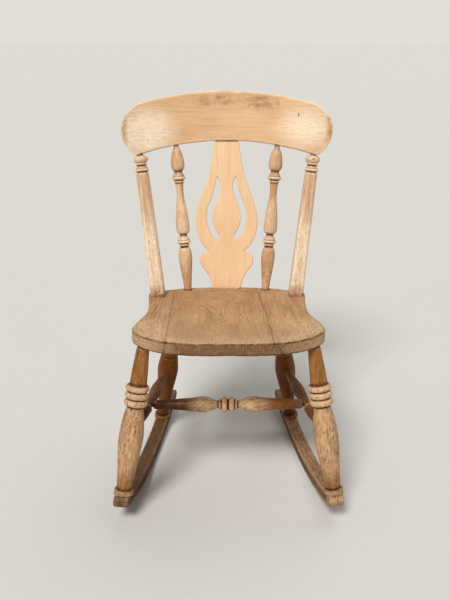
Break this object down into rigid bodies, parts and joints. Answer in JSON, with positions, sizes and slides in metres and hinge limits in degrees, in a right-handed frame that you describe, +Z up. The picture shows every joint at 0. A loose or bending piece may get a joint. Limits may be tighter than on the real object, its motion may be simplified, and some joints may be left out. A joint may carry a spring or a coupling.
{
  "type": "rocking chair",
  "caption": "Low wooden kitchen rocking chair with a pierced lyre splat, turned spindles and legs, saddled plank seat, bowed crest rail and curved rockers, stripped and worn.",
  "frame": {"origin": "on the floor, midway between the front and rear tips of the rockers, on the chair's centre line", "axes": "+Z up, the sitter faces -Y, +X to the chair's right as seen from the front"},
  "size_m": [0.4842, 0.5361, 0.8456],
  "materials": {
    "seat_elm": "bare elm, sanded, coarse open grain, grimy on its edge",
    "crest_beech": "bare beech, rubbed pale at the ends",
    "splat_beech": "bare pale wood, sanded",
    "turned_beech": "stripped turned beech with old stain in the grooves",
    "leg_beech": "stripped turned beech, streaked and flecked",
    "stained_beech": "turned beech still holding its dark orange stain",
    "grimy_beech": "beech, dull grey-brown with ingrained dirt",
    "rusty_iron": "rusted nail"
  },
  "bodies": {
    "root": {"seat_center_board": "seat_elm", "seat_left_board": "seat_elm", "seat_right_board": "seat_elm", "crest_rail": "crest_beech", "splat": "splat_beech", "back_post_left": "turned_beech", "back_post_right": "turned_beech", "spindle_left": "turned_beech", "spindle_right": "turned_beech", "front_leg_left": "leg_beech", "front_leg_right": "leg_beech", "rear_leg_left": "stained_beech", "rear_leg_right": "stained_beech", "side_stretcher_left": "grimy_beech", "side_stretcher_right": "grimy_beech", "cross_stretcher": "leg_beech", "rocker_left": "grimy_beech", "rocker_right": "grimy_beech", "post_foot_nails": "rusty_iron", "post_head_nail": "rusty_iron"}
  },
  "joints": []
}
